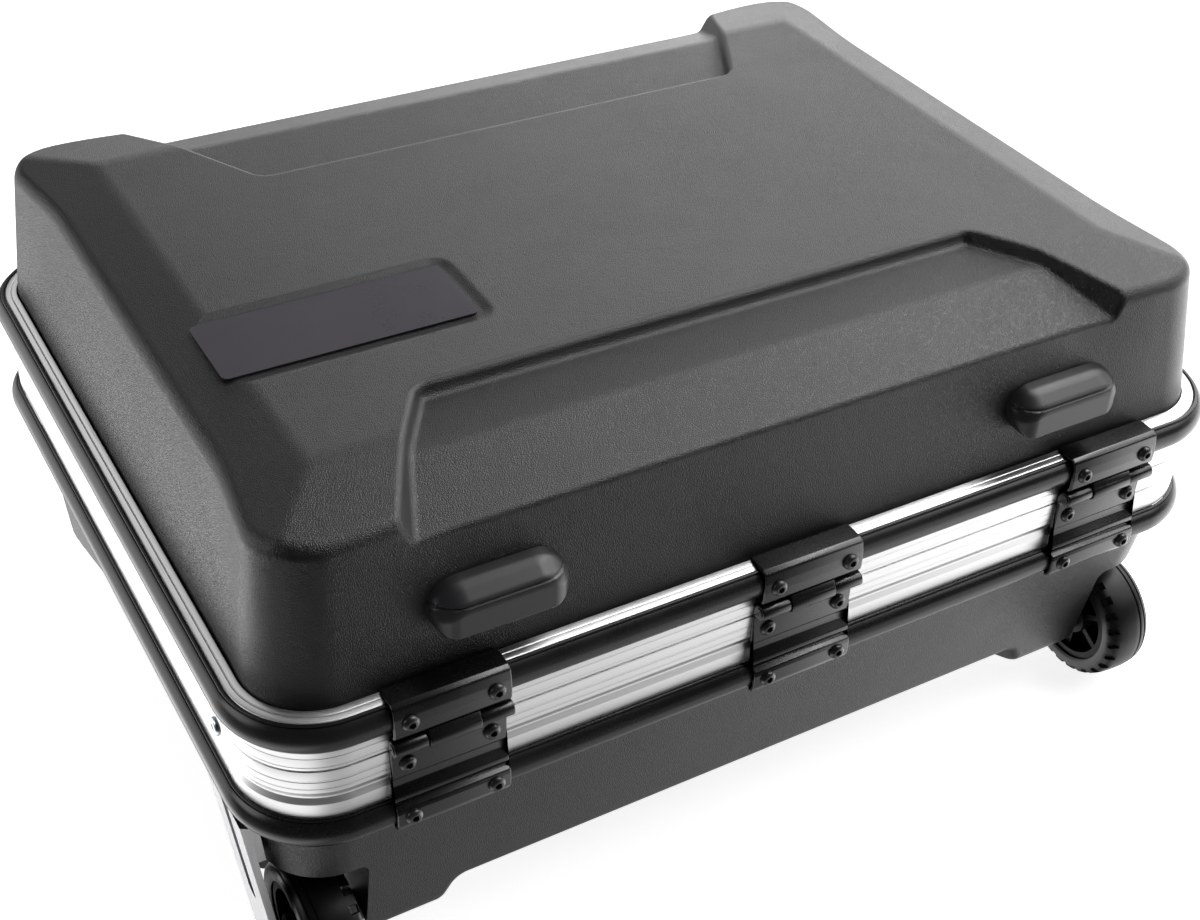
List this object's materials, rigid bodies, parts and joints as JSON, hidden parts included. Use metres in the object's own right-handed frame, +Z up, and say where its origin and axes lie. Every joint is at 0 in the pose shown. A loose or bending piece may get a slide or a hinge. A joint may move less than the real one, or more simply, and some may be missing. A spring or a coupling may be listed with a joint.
{
  "type": "hard tool case",
  "caption": "Hard moulded tool case with a metal frame, hinged lid, lever latches, carry handle, corner rollers and a telescopic pull handle.",
  "frame": {"origin": "on the ground, under the middle of the case's bounding box", "axes": "+X along the hinge side, +Y from the hinge side to the latch side, +Z up"},
  "size_m": [0.4986, 0.411, 0.2535],
  "materials": {
    "shell": "satin",
    "frame_metal": "brushed",
    "trim_rubber": "satin",
    "hinge_black": "semi-gloss",
    "screw_black": "satin",
    "pin_steel": "satin",
    "cap_chrome": "polished",
    "foot_rubber": "matte",
    "bumper_rubber": "satin",
    "tube_metal": "anodised",
    "fitting_black": "satin",
    "tray_grey": "matte",
    "board_black": "matte",
    "plate_dark": "satin",
    "hub_black": "satin",
    "tyre_black": "satin",
    "button_grey": "satin"
  },
  "bodies": {
    "base": {"base_shell": "shell", "base_frame": "frame_metal", "base_trim": "trim_rubber", "lid_seal": "trim_rubber", "hinge_base_left": "hinge_black", "hinge_base_middle": "hinge_black", "hinge_base_right": "hinge_black", "hinge_pins": "pin_steel", "hinge_screws_base": "screw_black", "slotted_bar": "frame_metal", "wheel_axles": "pin_steel", "axle_caps": "cap_chrome", "bar_screws": "pin_steel", "frame_screw": "pin_steel", "rear_feet": "foot_rubber", "pull_tube_outer_left": "tube_metal", "pull_tube_outer_right": "tube_metal", "pull_tube_collars": "fitting_black", "pull_tube_end_caps": "fitting_black", "latch_body_left": "fitting_black", "latch_body_right": "fitting_black", "handle_bracket_left": "fitting_black", "handle_bracket_right": "fitting_black", "handle_pins": "pin_steel", "rear_screws": "screw_black", "sorting_tray": "tray_grey", "base_rivets": "pin_steel"},
    "lid": {"lid_shell": "shell", "lid_frame": "frame_metal", "lid_trim": "trim_rubber", "hinge_lid_left": "hinge_black", "hinge_lid_middle": "hinge_black", "hinge_lid_right": "hinge_black", "hinge_screws_lid": "screw_black", "bumper_left": "bumper_rubber", "bumper_right": "bumper_rubber", "label_plate": "plate_dark", "catch_left": "fitting_black", "catch_right": "fitting_black", "tool_board": "board_black", "board_pockets_front": "board_black", "board_pockets_rear": "board_black", "lid_rivets": "pin_steel"},
    "wheel_left": {"wheel_hub_left": "hub_black", "wheel_tyre_left": "tyre_black"},
    "wheel_right": {"wheel_hub_right": "hub_black", "wheel_tyre_right": "tyre_black"},
    "latch_left": {"latch_lever_left": "fitting_black"},
    "latch_right": {"latch_lever_right": "fitting_black"},
    "lock_left": {"lock_cylinder_left": "cap_chrome"},
    "lock_right": {"lock_cylinder_right": "cap_chrome"},
    "handle": {"carry_handle": "fitting_black", "handle_grip": "foot_rubber"},
    "pull_stage_1": {"pull_tube_middle_left": "tube_metal", "pull_tube_middle_right": "tube_metal"},
    "pull_stage_2": {"pull_tube_inner_left": "tube_metal", "pull_tube_inner_right": "tube_metal", "pull_grip": "fitting_black"},
    "pull_button": {"release_button": "button_grey"}
  },
  "joints": [
    {"name": "lid_hinge", "type": "hinge", "parent": "base", "child": "lid", "pos_m": [0, -0.2013, 0.158], "axis": [1, 0, 0], "range_deg": [0, 95]},
    {"name": "wheel_spin_left", "type": "hinge", "parent": "base", "child": "wheel_left", "pos_m": [-0.218, -0.1692, 0.0333], "axis": [1, 0, 0], "continuous": true},
    {"name": "wheel_spin_right", "type": "hinge", "parent": "base", "child": "wheel_right", "pos_m": [0.218, -0.1692, 0.0333], "axis": [1, 0, 0], "continuous": true},
    {"name": "latch_swing_left", "type": "hinge", "parent": "base", "child": "latch_left", "pos_m": [-0.152, 0.1915, 0.107], "axis": [-1, 0, 0], "range_deg": [0, 75]},
    {"name": "latch_swing_right", "type": "hinge", "parent": "base", "child": "latch_right", "pos_m": [0.152, 0.1915, 0.107], "axis": [-1, 0, 0], "range_deg": [0, 75]},
    {"name": "lock_turn_left", "type": "hinge", "parent": "latch_left", "child": "lock_left", "pos_m": [-0.152, 0.1905, 0.132], "axis": [0, 1, 0], "range_deg": [0, 90]},
    {"name": "lock_turn_right", "type": "hinge", "parent": "latch_right", "child": "lock_right", "pos_m": [0.152, 0.1905, 0.132], "axis": [0, 1, 0], "range_deg": [0, 90]},
    {"name": "handle_swing", "type": "hinge", "parent": "base", "child": "handle", "pos_m": [0, 0.1935, 0.118], "axis": [1, 0, 0], "range_deg": [0, 110]},
    {"name": "pull_slide_1", "type": "slide", "parent": "base", "child": "pull_stage_1", "axis": [0, 1, 0], "range_m": [0, 0.25]},
    {"name": "pull_slide_2", "type": "slide", "parent": "pull_stage_1", "child": "pull_stage_2", "axis": [0, 1, 0], "range_m": [0, 0.24]},
    {"name": "button_press", "type": "slide", "parent": "pull_stage_2", "child": "pull_button", "axis": [0, -1, 0], "range_m": [0, 0.003], "stiffness_N_per_m": 400}
  ]
}
